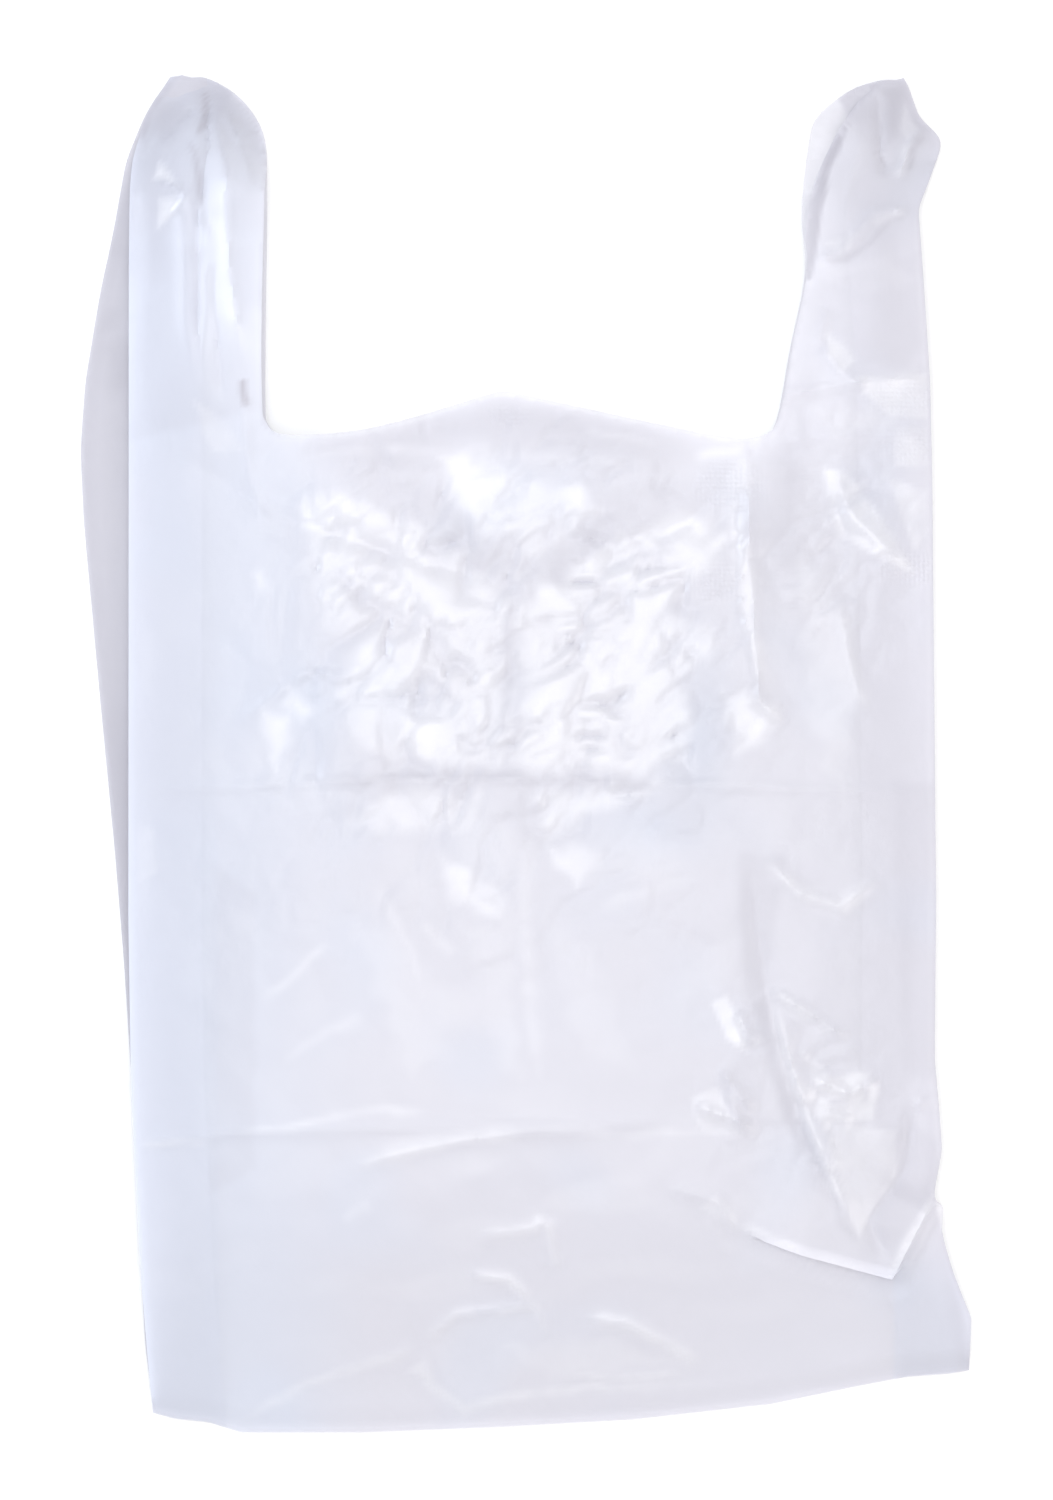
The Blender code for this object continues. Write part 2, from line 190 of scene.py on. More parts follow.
def front_creases(x, y):
    """What the film remembers of being folded, crumpled and pulled about, on the front panel."""
    open_film = ease(BOTTOM + 0.010, BOTTOM + 0.05, y)
    high = np.zeros(np.shape(x))
    # the cross folds of the flat pack, and the soft fold down the middle
    for line, height, width in (
        ([(-0.146, -0.0130), (-0.060, -0.0090), (0.0, -0.0085), (0.070, -0.0110), (0.152, -0.0140)], 0.0011, 0.0030),
        ([(-0.146, -0.1420), (-0.105, -0.1370), (-0.030, -0.1345), (0.064, -0.1325)], 0.0009, 0.0028),
        ([(0.085, 0.1290), (0.120, 0.1350), (0.150, 0.1390)], 0.0016, 0.0022),
        ([(0.088, 0.1130), (0.120, 0.1170), (0.150, 0.1160)], 0.0010, 0.0030),
        ([(0.004, 0.1200), (-0.003, 0.0600), (-0.006, 0.0050), (-0.001, -0.030), (0.004, -0.125)], 0.0003, 0.0040),
    ):
        high += crease(line, x, y, height, width, 0.10)
    # long soft pulls
    for line, height, width in (
        ([(-0.1089, -0.2465), (-0.0796, -0.2300), (-0.0533, -0.2216), (-0.0379, -0.2158)], 0.0014, 0.0030),
        ([(-0.0379, -0.2147), (-0.0346, -0.2300), (-0.0225, -0.2396), (-0.0060, -0.2348), (0.0269, -0.2311),
          (0.0851, -0.2300)], 0.0016, 0.0024),
        ([(0.0188, -0.2051), (0.0364, -0.2073), (0.0529, -0.2158), (0.0661, -0.2253)], 0.0022, 0.0036),
        ([(0.0104, -0.2264), (0.0364, -0.2275), (0.0602, -0.2264)], 0.0014, 0.0024),
        ([(-0.0675, -0.1506), (-0.0441, -0.1436), (-0.0203, -0.1389), (0.0035, -0.1363), (0.040, -0.1370)],
         0.0016, 0.0026),
        ([(-0.0203, -0.1755), (0.0035, -0.1718), (0.0075, -0.1671)], 0.0012, 0.0022),
        ([(0.0075, -0.1671), (0.0100, -0.1780), (0.0115, -0.1872)], 0.0012, 0.0022),
        ([(-0.0214, -0.1887), (-0.0060, -0.1909), (0.0035, -0.2004)], 0.0014, 0.0022),
        ([(-0.0379, -0.2147), (-0.0250, -0.2040), (0.0035, -0.2004), (0.0093, -0.2136)], 0.0014, 0.0024),
        ([(-0.130, 0.112), (-0.085, 0.085), (-0.030, 0.068), (0.0, 0.062)], -0.0022, 0.0080),
        ([(0.082, 0.108), (0.060, 0.085), (0.030, 0.070), (0.0, 0.062)], -0.0024, 0.0080),
        ([(-0.103, 0.135), (-0.100, 0.100), (-0.092, 0.080)], 0.0018, 0.0040),
        ([(0.080, 0.116), (0.082, 0.070), (0.085, 0.020), (0.096, 0.010)], 0.0026, 0.0032),
        ([(0.083, 0.095), (0.078, 0.060), (0.084, 0.030)], 0.0015, 0.0016),
        ([(0.086, -0.036), (0.100, -0.050), (0.115, -0.055), (0.130, -0.044)], 0.0018, 0.0024),
        ([(0.112, 0.104), (0.120, 0.086), (0.141, 0.068)], 0.0022, 0.0036),
        ([(0.114, 0.060), (0.118, 0.036), (0.124, 0.014)], 0.0015, 0.0030),
        ([(-0.108, 0.008), (-0.080, 0.030), (-0.060, 0.028)], 0.0014, 0.0030),
    ):
        high += crease(line, x, y, height, width, 0.22)
    # the valley and ridge above the pleat, and the stiff little facets beside them
    for line, height, width, ends in (
        ([(0.081, -0.035), (0.0875, -0.085), (0.1000, -0.135), (0.1170, -0.172)], -0.0022, 0.0060, 0.22),
        ([(0.0885, -0.084), (0.1190, -0.104)], 0.0020, 0.0016, 0.20),
        ([(0.0900, -0.086), (0.0995, -0.121), (0.1050, -0.1374), (0.1220, -0.177)], 0.0026, 0.0040, 0.16),
        ([(0.0770, -0.0920), (0.0830, -0.1060)], 0.0026, 0.0022, 0.25),
        ([(0.0700, -0.1130), (0.0840, -0.1300)], 0.0026, 0.0020, 0.25),
        ([(0.0600, -0.1260), (0.0860, -0.1360)], 0.0022, 0.0022, 0.25),
        ([(0.0730, -0.1200), (0.0800, -0.1380)], 0.0018, 0.0016, 0.25),
        ([(0.1040, -0.1170), (0.1180, -0.1230), (0.1300, -0.1180)], 0.0018, 0.0020, 0.20),
        ([(0.1060, -0.1290), (0.1200, -0.1330)], 0.0016, 0.0018, 0.25),
        ([(0.1330, -0.1850), (0.1250, -0.1700), (0.1390, -0.1500), (0.1420, -0.1250)], -0.0016, 0.0030, 0.20),
        ([(0.1420, -0.1280), (0.1520, -0.1240)], 0.0014, 0.0014, 0.20),
        ([(0.0500, -0.1560), (0.0700, -0.1620), (0.0780, -0.1740)], 0.0013, 0.0020, 0.25),
    ):
        high += crease(line, x, y, height, width, ends)
    # left handle: gathers that run down from the bunched top, and one long bright fold
    for line, height, width in (
        ([(-0.1165, 0.2460), (-0.1150, 0.2200), (-0.1190, 0.1900), (-0.1180, 0.1350)], -0.0030, 0.0028),
        ([(-0.1160, 0.2400), (-0.1080, 0.2130), (-0.1070, 0.1800), (-0.1010, 0.1380)], 0.0024, 0.0034),
        ([(-0.1270, 0.2240), (-0.1330, 0.2080), (-0.1240, 0.2050)], 0.0016, 0.0020),
        ([(-0.1320, 0.1950), (-0.1220, 0.2030), (-0.1310, 0.2090)], 0.0018, 0.0020),
        ([(-0.1100, 0.2380), (-0.1030, 0.2220), (-0.0990, 0.2060)], 0.0020, 0.0018),
        ([(-0.1060, 0.2250), (-0.0985, 0.2280)], 0.0016, 0.0014),
        ([(-0.1200, 0.2380), (-0.1320, 0.2250)], -0.0020, 0.0022),
        ([(-0.1130, 0.1800), (-0.1110, 0.1500), (-0.1090, 0.1280)], -0.0016, 0.0024),
    ):
        high += crease(line, x, y, height, width, 0.18)
    # right handle: twisted, with slanting folds across the strap
    for line, height, width in (
        ([(0.1050, 0.1800), (0.1150, 0.1830), (0.1280, 0.1980), (0.1440, 0.2000)], 0.0026, 0.0026),
        ([(0.1300, 0.2440), (0.1300, 0.2200), (0.1330, 0.2120)], -0.0022, 0.0020),
        ([(0.1480, 0.2320), (0.1400, 0.2220), (0.1370, 0.2100)], 0.0024, 0.0018),
        ([(0.1240, 0.2300), (0.1190, 0.2100), (0.1160, 0.1900)], 0.0012, 0.0030),
        ([(0.1070, 0.1500), (0.1140, 0.1400), (0.1250, 0.1330)], 0.0026, 0.0030),
        ([(0.1100, 0.1620), (0.1060, 0.1480)], 0.0014, 0.0014),
    ):
        high += crease(line, x, y, height, width, 0.18)
    return high * open_film


def crumple_zone(x, y):
    """Where the front panel was crushed hardest: the middle, just below the mouth."""
    core = np.exp(-(((x + 0.008) / 0.082) ** 4) - ((y - 0.050) / 0.068) ** 4)
    below = 0.40 * np.exp(-(((x + 0.010) / 0.10) ** 2) - ((y + 0.045) / 0.045) ** 2)
    right = 0.75 * np.exp(-(((x - 0.118) / 0.030) ** 2) - ((y - 0.080) / 0.045) ** 2)
    corner = 0.55 * np.exp(-(((x - 0.098) / 0.030) ** 2) - ((y + 0.125) / 0.032) ** 2)
    return np.clip(core + below + right + corner, 0.0, 1.0)


def smooth_outline(points, per_step=8):
    """A closed line through the points, rounded as a bent lath would be."""
    p = np.array(points)
    before, after, last = np.roll(p, 1, 0), np.roll(p, -1, 0), np.roll(p, -2, 0)
    found = []
    for t in np.linspace(0.0, 1.0, per_step, endpoint=False):
        found.append(0.5 * (2 * p + (after - before) * t + (2 * before - 5 * p + 4 * after - last) * t**2
                            + (3 * p - before - 3 * after + last) * t**3))
    return np.stack(found, 1).reshape(-1, 2)


# the die cut: inner edge of the left handle, the mouth, inner edge of the right handle
MOUTH_CUT = [(-0.1262, 0.2700), (-0.1262, 0.2560), (-0.1250, 0.2490), (-0.1169, 0.2484), (-0.1068, 0.2430),
             (-0.0990, 0.2345), (-0.0950, 0.2240), (-0.0943, 0.2040), (-0.0948, 0.1670),
             (-0.0950, 0.1300), (-0.0938, 0.1210), (-0.0870, 0.1164), (-0.0640, 0.1172), (-0.0430, 0.1216),
             (-0.0140, 0.1306), (-0.0070, 0.1318), (0.0000, 0.1306), (0.0276, 0.1246), (0.0642, 0.1168),
             (0.0790, 0.1150), (0.0885, 0.1172), (0.0928, 0.1246), (0.0972, 0.1484),
             (0.1026, 0.1759), (0.1014, 0.1978), (0.1036, 0.2216), (0.1070, 0.2335),
             (0.1191, 0.2436), (0.1301, 0.2474), (0.1390, 0.2484), (0.1400, 0.2560), (0.1400, 0.2700)]
# the front strap of the right handle is drawn aside along this line, over the back strap
STRAP_EDGE = [(0.0940, 0.1680), (0.1016, 0.1729), (0.1021, 0.1883), (0.1042, 0.2026), (0.1074, 0.2130),
              (0.1118, 0.2227), (0.1162, 0.2310), (0.1220, 0.2392), (0.1290, 0.2476),
              (0.1240, 0.2600), (0.0900, 0.2600)]


def within(outline, x, y):
    """Whether places lie inside a closed outline."""
    inside = np.zeros(np.shape(x), bool)
    for (ax, ay), (bx, by) in zip(outline, np.roll(outline, -1, 0)):
        if ay != by:
            crosses = (ay > y) != (by > y)
            inside ^= crosses & (x < (bx - ax) * (y - ay) / (by - ay) + ax)
    return inside


mouth_line, strap_line = smooth_outline(MOUTH_CUT), smooth_outline(STRAP_EDGE)


def lay_pleat(x, y, z):
    """Laps the front panel over itself along the pleat: the film above runs on over the film below."""
    away, along = beside(PLEAT, x, y)
    depth = 0.0075 * ease(0.0, 0.45, along) * ease(1.0, 0.9, along)
    rise = 0.0040 * ease(0.0, 0.5, along) * ease(1.0, 0.93, along)
    upper = away >= 0
    z = z + np.where(upper, rise * np.exp(-np.abs(away) / 0.030), 0.0)
    # just below the line the film turns back under the lap and comes out again
    t = np.clip(-away / 0.0085, 0.0, 1.0)
    back = np.sin(np.pi * t) * depth
    tuck = (~upper) & (t < 1.0)
    line = np.array(PLEAT)
    run = line[-2] - line[0]
    across = np.array([-run[1], run[0]]) / np.hypot(*run)
    x = x + np.where(tuck, back * across[0], 0.0)
    y = y + np.where(tuck, back * across[1], 0.0)
    z = z + np.where(tuck, rise * (1.0 - t) ** 2 - 0.0004 * np.sin(np.pi * t), 0.0)
    return x, y, z


def front_panel(u, y):
    """The front panel's place at u, from 0 at its left fold to 1 at its right one."""
    x = front_left(y) + (front_right(y) - front_left(y)) * u
    y = onto_weld(x, y)
    left, right = front_left(y), front_right(y)
    # rows of the film are drawn onto the pleat's line, so the lap has a clean edge
    for (ax, ay), (bx, by) in zip(PLEAT, PLEAT[1:]):
        run_x, run_y = bx - ax, by - ay
        t = ((x - ax) * run_x + (y - ay) * run_y) / (run_x**2 + run_y**2)
        off_x, off_y = ax + t * run_x - x, ay + t * run_y - y
        close = (np.hypot(off_x, off_y) < 0.00115) & (t > -0.02) & (t < 1.02) & (u > 0.0) & (u < 1.0)
        x, y = np.where(close, x + off_x, x), np.where(close, y + off_y, y)
    # keep the crumples off the folds and welds, so the outline stays true
    free = ease(0.0, 0.010, x - left) * ease(0.0, 0.010, right - x)
    free = free * ease(BOTTOM + 0.006, BOTTOM + 0.030, y)
    z = front_height(x, y, left, right) + front_creases(x, y) * free
    zone = crumple_zone(x, y) * free
    z = z + zone * (0.0020 * crumples(x, y) + 0.0016 * rough(x, y, 42.0, 4.0))
    z = z + free * (0.0012 * rough(x, y, 20.0, 7.0) + 0.0003 * rough(x, y, 80.0, 3.0))
    return lay_pleat(x, y, np.maximum(z, 0.0008))


def back_panel(u, y):
    """The back panel, nearly flat on the floor."""
    left, right = back_left(y), back_right(y)
    x = left + (right - left) * u
    y = onto_weld(x, y)
    free = ease(0.0, 0.012, x - left) * ease(0.0, 0.012, right - x) * ease(BOTTOM + 0.004, BOTTOM + 0.03, y)
    z = 0.0002 + free * (0.0012 * np.abs(rough(x, y, 40.0, 11.0)) + 0.0006 * np.abs(rough(x, y, 20.0, 12.0)))
    # beside the drawn-aside strap the back one curls up
    curl = ease(0.118, 0.104, x) * ease(0.165, 0.190, y) * ease(0.250, 0.225, y) * (x > 0.09)
    z = z + curl * (0.0040 + 0.0016 * rough(x, y, 120.0, 13.0))
    return x, y, z


def gusset_layer(side, front_half):
    """One of a gusset's two layers, from a front or a back fold in to the middle fold. side is -1 on the left."""
    def place(u, y):
        front = front_left(y) if side < 0 else front_right(y)
        back = back_left(y) if side < 0 else back_right(y)
        inner = front - side * GUSSET
        edge = front if front_half else back
        x = edge + (inner - edge) * u
        drawn = onto_weld(front, y)
        top = front_height(front, drawn, front_left(drawn), front_right(drawn))
        middle, edge_z = top * 0.5, top if front_half else 0.0002
        y = onto_weld(x, y)
        z = edge_z + (middle - edge_z) * u
        z = z + 0.0005 * np.sin(np.pi * u) * rough(x, y, 45.0, 20.0 + side)
        return x, y, np.maximum(z, 0.0001)
    return place


sleeve = bmesh.new()
panel_of = sleeve.faces.layers.int.new("panel")
# as (panel number, columns of faces, the place of each point on it)
layout = (
    (1, 200, front_panel), (2, 78, back_panel),
    (3, 7, gusset_layer(-1, True)), (4, 7, gusset_layer(-1, False)),
    (5, 7, gusset_layer(1, True)), (6, 7, gusset_layer(1, False)),
)
for number, columns, place in layout:
    made = bmesh.ops.create_grid(sleeve, x_segments=columns, y_segments=ROWS, size=0.5)["verts"]
    flat = np.array([v.co[:2] for v in made]) + 0.5
    x, y, z = place(flat[:, 0], BOTTOM + (TOP - BOTTOM) * flat[:, 1])
    for vert, spot in zip(made, np.stack([x, y, z], 1).tolist()):
        vert.co = spot
        for face in vert.link_faces:
            face[panel_of] = number

# the die cut, through every layer
centres = np.array([f.calc_center_median()[:2] for f in sleeve.faces])
numbers = np.array([f[panel_of] for f in sleeve.faces])
gone = within(mouth_line, centres[:, 0], centres[:, 1])
gone |= (numbers == 1) & within(strap_line, centres[:, 0], centres[:, 1])
bmesh.ops.delete(sleeve, geom=[f for f, g in zip(sleeve.faces, gone) if g], context="FACES")


def nearest_on(outline, x, y):
    """The point of a closed outline nearest to a place, and how far away it is."""
    a, b = outline, np.roll(outline, -1, 0)
    run = b - a
    t = ((x - a[:, 0]) * run[:, 0] + (y - a[:, 1]) * run[:, 1]) / np.maximum((run**2).sum(1), 1e-12)
    spots = a + run * np.clip(t, 0.0, 1.0)[:, None]
    n = np.hypot(spots[:, 0] - x, spots[:, 1] - y).argmin()
    return spots[n], math.hypot(spots[n][0] - x, spots[n][1] - y)


# the cut rows are drawn onto the die's line, so the cut edge is clean
for vert in sleeve.verts:
    if vert.is_boundary and vert.co.y > 0.10:
        lines = [mouth_line] + ([strap_line] if any(f[panel_of] == 1 for f in vert.link_faces) else [])
        spot, away = min((nearest_on(line, vert.co.x, vert.co.y) for line in lines), key=lambda s: s[1])
        if away < 0.0024:
            vert.co.x, vert.co.y = spot
bmesh.ops.remove_doubles(sleeve, verts=sleeve.verts[:], dist=0.00002)
loose = [v for v in sleeve.verts if not v.link_faces]
bmesh.ops.delete(sleeve, geom=loose, context="VERTS")

# faces point out of the bag: up on the front panel, down on the back one
for face in sleeve.faces:
    face.smooth = True
sleeve.normal_update()
flip = [f for f in sleeve.faces if (f.normal.z > 0) != (f[panel_of] in (1, 4, 6))]
bmesh.ops.reverse_faces(sleeve, faces=flip)
# the folds and the pleat are pressed sharp
for edge in sleeve.edges:
    edge.smooth = len(edge.link_faces) != 2 or edge.calc_face_angle(0.0) < 0.75
sleeve.verts.index_update()
rim = [v.index for v in sleeve.verts
       if v.is_boundary or {f[panel_of] for f in v.link_faces} in ({2, 4}, {2, 6}, {1, 5})]
under = np.array([float(all(f[panel_of] != 1 for f in v.link_faces)) for v in sleeve.verts])
bag_mesh = bpy.data.meshes.new("film_bag")
sleeve.to_mesh(bag_mesh)
sleeve.free()
film_bag = bpy.data.objects.new("film_bag", bag_mesh)
bpy.context.scene.collection.objects.link(film_bag)

# facets of the front panel that lie level and catch the light, given painted highlights, as (strength, outline)
HIGHLIGHT_FACETS = [
    (1.00, [(-0.0313, 0.1078), (-0.0145, 0.1085), (0.0000, 0.1001), (0.0196, 0.0964), (0.0265, 0.0888),
            (0.0167, 0.0807), (0.0027, 0.0730), (-0.0101, 0.0781), (-0.0229, 0.0880)]),
    (0.95, [(-0.0822, 0.0906), (-0.0653, 0.0964), (-0.0485, 0.0866), (-0.0313, 0.0807), (-0.0174, 0.0694),
            (-0.0060, 0.0580), (-0.0060, -0.0042), (-0.0284, -0.0057), (-0.0480, 0.0010), (-0.0640, 0.0050),
            (-0.0668, 0.0243), (-0.0598, 0.0426), (-0.0723, 0.0470), (-0.0752, 0.0639)]),
    (0.95, [(-0.0016, 0.0540), (0.0167, 0.0653), (0.0280, 0.0767), (0.0452, 0.0851), (0.0591, 0.0880),
            (0.0734, 0.0807), (0.0705, 0.0708), (0.0591, 0.0639), (0.0478, 0.0496), (0.0620, 0.0470),
            (0.0690, 0.0382), (0.0551, 0.0258), (0.0606, 0.0145), (0.0591, -0.0057), (-0.0016, -0.0057)]),
    (0.95, [(0.0027, -0.0148), (0.0478, -0.0104), (0.0280, -0.0190), (0.0082, -0.0280)]),
    (0.75, [(-0.0653, -0.0225), (-0.0441, -0.0126), (-0.0174, -0.0126), (-0.0174, -0.0270), (-0.0609, -0.0270)]),
    (0.90, [(-0.0320, -0.0382), (-0.0236, -0.0390), (-0.0101, -0.0492), (-0.0071, -0.0558), (-0.0243, -0.0547)]),
    (0.75, [(0.0082, -0.0324), (0.0309, -0.0353), (0.0196, -0.0492)]),
    (0.90, [(-0.0866, 0.0243), (-0.0781, 0.0185), (-0.0803, 0.0130), (-0.0877, 0.0185)]),
    (0.90, [(-0.0943, 0.0145), (-0.0866, 0.0145), (-0.0880, -0.0068), (-0.0932, -0.0016)]),
    (0.70, [(-0.0990, 0.0665), (-0.0950, 0.0665), (-0.0925, 0.0580), (-0.0955, 0.0590)]),
    (0.26, [(-0.0220, -0.0620), (-0.0060, -0.0600), (-0.0010, -0.1180), (-0.0090, -0.1100)]),
    (0.20, [(0.0070, -0.0560), (0.0230, -0.0700), (0.0390, -0.1140), (0.0200, -0.1060)]),
    (0.24, [(-0.0640, -0.0600), (-0.0460, -0.0640), (-0.0280, -0.1100), (-0.0420, -0.1160)]),
    (0.42, [(0.1060, 0.1240), (0.1260, 0.1280), (0.1470, 0.1230), (0.1330, 0.1190), (0.1150, 0.1170)]),
    (0.30, [(0.1120, 0.1760), (0.1260, 0.1800), (0.1430, 0.1770), (0.1350, 0.1700), (0.1200, 0.1720)]),
    (0.45, [(-0.0100, -0.2160), (0.0300, -0.2130), (0.0550, -0.2240), (0.0100, -0.2290)]),
    (0.34, [(0.1000, 0.0780), (0.1100, 0.0660), (0.1200, 0.0200), (0.1150, -0.0150), (0.1030, 0.0150)]),
    (0.90, [(0.0716, 0.0240), (0.0917, 0.0200), (0.0935, 0.0140), (0.0790, 0.0020)]),
]
# painted highlights with clean edges on stiff little facets, at the handles and round the pleat
CRISP_HIGHLIGHTS = [
    (1.00, [(0.1093, 0.1535), (0.1202, 0.1437), (0.1151, 0.1385), (0.1107, 0.1448)]),
    (0.90, [(0.1200, 0.1370), (0.1473, 0.1389), (0.1473, 0.1228), (0.1330, 0.1236), (0.1240, 0.1310)]),
    (0.65, [(0.1352, 0.1195), (0.1473, 0.1195), (0.1473, 0.1056), (0.1352, 0.1056)]),
    (0.95, [(0.1082, 0.1052), (0.1173, 0.1027), (0.1301, 0.0862), (0.1418, 0.0661), (0.1301, 0.0716),
            (0.1137, 0.0807)]),
    (0.95, [(0.0675, -0.0895), (0.0734, -0.0877), (0.0789, -0.0968), (0.0807, -0.1078), (0.0734, -0.1023)]),
    (0.70, [(0.0606, -0.1242), (0.0697, -0.1206), (0.0752, -0.1316), (0.0789, -0.1389), (0.0642, -0.1371)]),
    (0.85, [(0.1008, -0.1078), (0.1118, -0.1169), (0.1257, -0.1151), (0.1228, -0.1279), (0.1063, -0.1224)]),
    (0.60, [(0.1070, -0.1320), (0.1356, -0.1371), (0.1356, -0.1554), (0.1257, -0.1675), (0.1213, -0.1759)]),
    (0.85, [(0.1010, -0.1190), (0.1120, -0.1270), (0.1240, -0.1260), (0.1250, -0.1170), (0.1290, -0.1200),
            (0.1270, -0.1330), (0.1120, -0.1345), (0.1040, -0.1300)]),
    (0.45, [(-0.1200, 0.1290), (-0.1080, 0.1200), (-0.1020, 0.1110), (-0.1130, 0.1100), (-0.1170, 0.1180)]),
    (0.40, [(0.0700, -0.1590), (0.0640, -0.1640), (0.0770, -0.1730), (0.0775, -0.1650)]),
    (1.00, [(-0.1335, 0.2170), (-0.1262, 0.2077), (-0.1350, 0.2105)]),
    (1.00, [(-0.1335, 0.2036), (-0.1240, 0.2016), (-0.1335, 0.1906)]),
    (0.75, [(0.1330, 0.1010), (0.1470, 0.0960), (0.1475, 0.0820), (0.1420, 0.0740), (0.1370, 0.0880)]),
    (0.55, [(0.1395, 0.2400), (0.1420, 0.2330), (0.1440, 0.2290), (0.1405, 0.2240), (0.1380, 0.2290)]),
    (0.60, [(0.1175, 0.1920), (0.1200, 0.1900), (0.1180, 0.1835), (0.1160, 0.1850)]),
    (0.25, [(-0.1418, -0.0240), (-0.1350, -0.0270), (-0.1340, -0.0420), (-0.1405, -0.0460)]),
    (0.60, [(-0.0426, -0.2250), (-0.0364, -0.2205), (-0.0350, -0.2290)]),
    (0.14, [(-0.0350, -0.2150), (-0.0200, -0.2040), (0.0040, -0.2010), (0.0090, -0.2140), (-0.0050, -0.2320),
            (-0.0250, -0.2360)]),
    (0.70, [(0.1093, 0.1860), (0.1160, 0.1890), (0.1150, 0.1830)]),
]
# painted highlights along narrow folds, as (strength, width, line)
HIGHLIGHT_STREAKS = [
    (0.41, 0.0032, [(-0.1090, 0.2130), (-0.1118, 0.1986), (-0.1100, 0.1865), (-0.1082, 0.1696), (-0.1049, 0.1546),
                    (-0.1008, 0.1400)]),
    (0.20, 0.0025, [(-0.1169, 0.1900), (-0.1158, 0.1667), (-0.1140, 0.1546), (-0.1162, 0.1396)]),
    (0.78, 0.0030, [(0.0800, 0.1120), (0.0789, 0.1045), (0.0756, 0.0862), (0.0803, 0.0668), (0.0818, 0.0456),
                    (0.0869, 0.0298), (0.0917, 0.0170)]),
    (0.49, 0.0020, [(0.0600, 0.1075), (0.0720, 0.1100), (0.0800, 0.1120)]),
    (0.34, 0.0024, [(0.0010, -0.0200), (0.0000, -0.0600), (0.0020, -0.0900), (0.0060, -0.1230)]),
    (0.30, 0.0020, [(-0.0560, -0.0420), (-0.0420, -0.0700), (-0.0330, -0.0980)]),
    (0.30, 0.0020, [(-0.0900, -0.1130), (-0.0720, -0.1000), (-0.0560, -0.0940)]),
    (0.28, 0.0020, [(0.0250, -0.0560), (0.0420, -0.0500), (0.0640, -0.0420)]),
    (0.66, 0.0025, [(0.0860, -0.0360), (0.1000, -0.0500), (0.1150, -0.0550), (0.1300, -0.0440)]),
    (0.49, 0.0028, [(0.1140, 0.0600), (0.1180, 0.0360), (0.1240, 0.0140)]),
    (0.61, 0.0025, [(-0.0675, -0.1506), (-0.0441, -0.1436), (-0.0203, -0.1389), (0.0035, -0.1363)]),
    (0.45, 0.0015, [(-0.1056, -0.1363), (-0.0888, -0.1352), (-0.0558, -0.1283), (-0.0320, -0.1294)]),
    (0.37, 0.0018, [(0.0130, -0.1378), (0.0500, -0.1370), (0.0862, -0.1352)]),
    (0.49, 0.0013, [(-0.1422, -0.1418), (-0.1125, -0.1404)]),
    (0.57, 0.0018, [(-0.0203, -0.1755), (0.0035, -0.1718), (0.0075, -0.1671)]),
    (0.57, 0.0018, [(0.0075, -0.1671), (0.0100, -0.1780), (0.0115, -0.1872)]),
    (0.61, 0.0019, [(-0.0214, -0.1887), (-0.0060, -0.1909), (0.0035, -0.2004)]),
    (0.45, 0.0018, [(-0.0156, -0.2051), (0.0035, -0.2004), (0.0093, -0.2136)]),
    (0.78, 0.0025, [(0.0188, -0.2051), (0.0364, -0.2073), (0.0529, -0.2158), (0.0661, -0.2253)]),
    (0.66, 0.0018, [(0.0104, -0.2264), (0.0364, -0.2275), (0.0602, -0.2264)]),
    (0.66, 0.0018, [(-0.0379, -0.2147), (-0.0346, -0.2300), (-0.0225, -0.2396), (-0.0060, -0.2348), (0.0269, -0.2311),
                    (0.0851, -0.2300)]),
    (0.49, 0.0018, [(-0.0379, -0.2147), (-0.0250, -0.2040), (-0.0156, -0.2030)]),
    (0.53, 0.0018, [(-0.1089, -0.2465), (-0.0796, -0.2300), (-0.0533, -0.2216), (-0.0379, -0.2158)]),
    (0.33, 0.0018, [(-0.0675, -0.1696), (-0.0547, -0.1612)]),
    (0.37, 0.0015, [(-0.0386, -0.0595), (-0.0246, -0.0734)]),
    (0.74, 0.0016, [(0.0885, -0.0850), (0.0990, -0.0920), (0.1130, -0.1030)]),
    (0.78, 0.0019, [(0.0885, -0.0850), (0.0990, -0.1210), (0.1045, -0.1374), (0.1215, -0.1770)]),
    (0.78, 0.0018, [(0.1325, -0.1910), (0.1420, -0.1730), (0.1510, -0.1570)]),
    (0.49, 0.0015, [(0.0740, -0.1680), (0.1000, -0.1800), (0.1330, -0.1900)]),
    (0.37, 0.0018, [(-0.0970, -0.0900), (-0.0820, -0.0780), (-0.0700, -0.0660)]),
    (0.57, 0.0018, [(0.1480, 0.1385), (0.1300, 0.1370), (0.1150, 0.1340)]),
    (0.29, 0.0015, [(-0.0900, 0.1080), (-0.0500, 0.1110), (0.0100, 0.1080), (0.0600, 0.1050)]),
    (0.29, 0.0013, [(0.0200, 0.1180), (0.0500, 0.1130)]),
    (0.57, 0.0018, [(0.1400, 0.2250), (0.1390, 0.2160), (0.1360, 0.2110)]),
    (0.37, 0.0015, [(0.1260, 0.1940), (0.1400, 0.1995)]),
]
